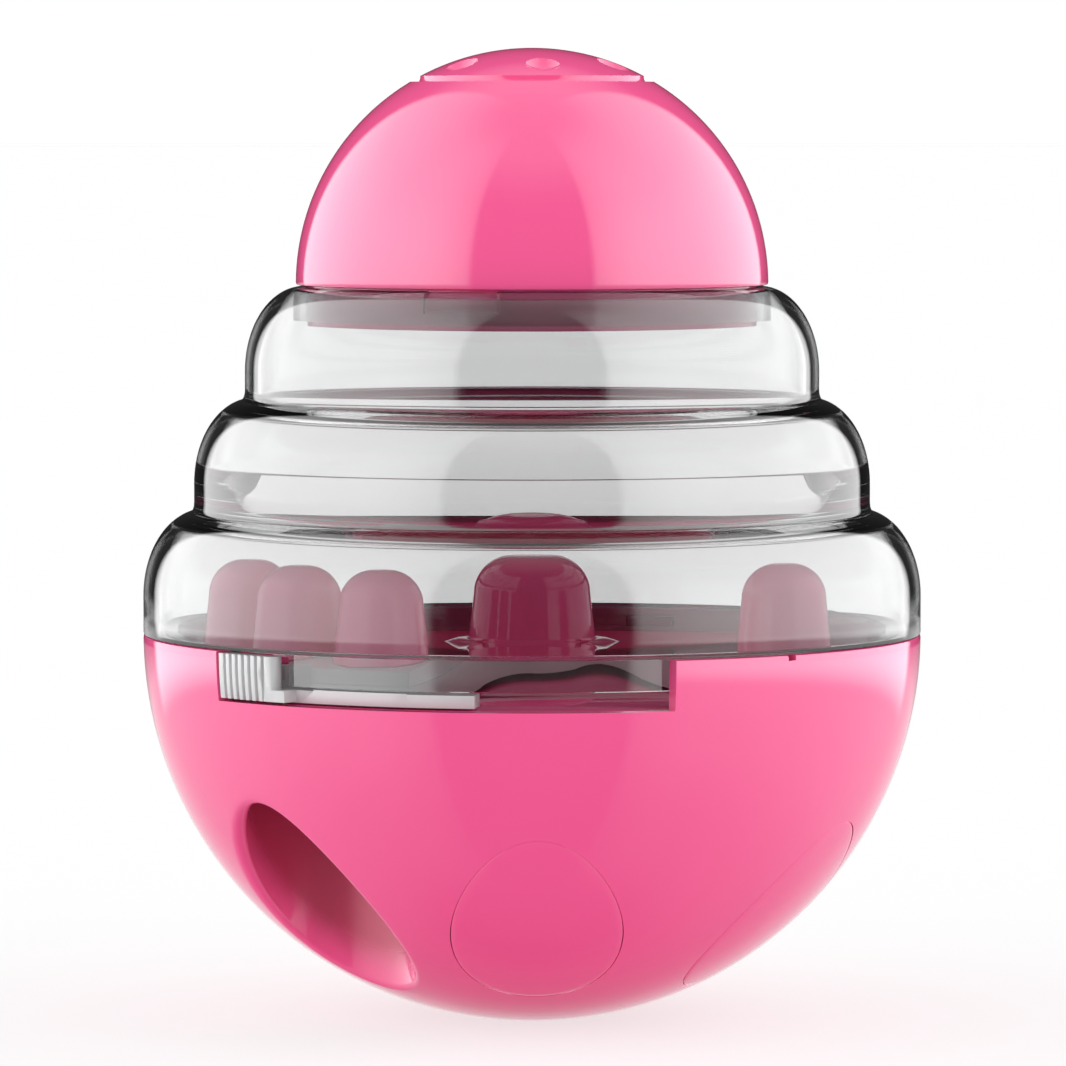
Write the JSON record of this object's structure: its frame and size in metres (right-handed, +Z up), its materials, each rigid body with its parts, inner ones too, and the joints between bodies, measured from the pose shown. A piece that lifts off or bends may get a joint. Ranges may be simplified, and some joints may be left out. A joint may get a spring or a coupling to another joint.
{
  "type": "treat dispensing ball",
  "caption": "Egg-shaped tumbler ball with a weighted round bowl, a stepped clear treat chamber, a domed filling cap and a turning shutter that sets how fast treats drop out.",
  "frame": {"origin": "centre of the small flat at the bottom of the bowl, which the ball rests on", "axes": "+Z up along the ball's axis to the domed cap, -Y to the front where the thumb tab's notch is, +X to the right seen from the front"},
  "size_m": [0.1, 0.1, 0.1247],
  "materials": {
    "pink_plastic": "glossy moulded plastic",
    "grey_plastic": "satin moulded plastic",
    "clear_plastic": "clear, slightly smoky moulded plastic",
    "steel": "bright zinc plated"
  },
  "bodies": {
    "bowl_body": {"bowl": "pink_plastic", "plug_1": "pink_plastic", "plug_2": "pink_plastic", "plug_3": "pink_plastic", "plug_4": "pink_plastic", "plug_5": "pink_plastic", "ballast_weight": "steel", "ballast_cover": "pink_plastic", "ballast_screws": "steel", "floor_plate": "pink_plastic", "floor_screws": "steel", "hub_cap": "pink_plastic", "hub_screw": "steel", "friction_washer": "steel"},
    "shutter_body": {"shutter": "grey_plastic", "peg_1": "pink_plastic", "peg_2": "pink_plastic", "peg_3": "pink_plastic", "peg_4": "pink_plastic"},
    "shell_body": {"clear_shell": "clear_plastic"},
    "cap_body": {"dome_cap": "pink_plastic", "dome_ring": "pink_plastic"}
  },
  "joints": [
    {"name": "shutter_turn", "type": "hinge", "parent": "bowl_body", "child": "shutter_body", "pos_m": [0, 0, 0.04351], "axis": [0, 0, 1], "range_deg": [0, 58.4]},
    {"name": "shell_twist", "type": "hinge", "parent": "bowl_body", "child": "shell_body", "pos_m": [0, 0, 0.04951], "axis": [0, 0, 1], "range_deg": [0, 17]},
    {"name": "cap_lift", "type": "slide", "parent": "shell_body", "child": "cap_body", "axis": [0, 0, 1], "range_m": [0, 0.045]}
  ]
}
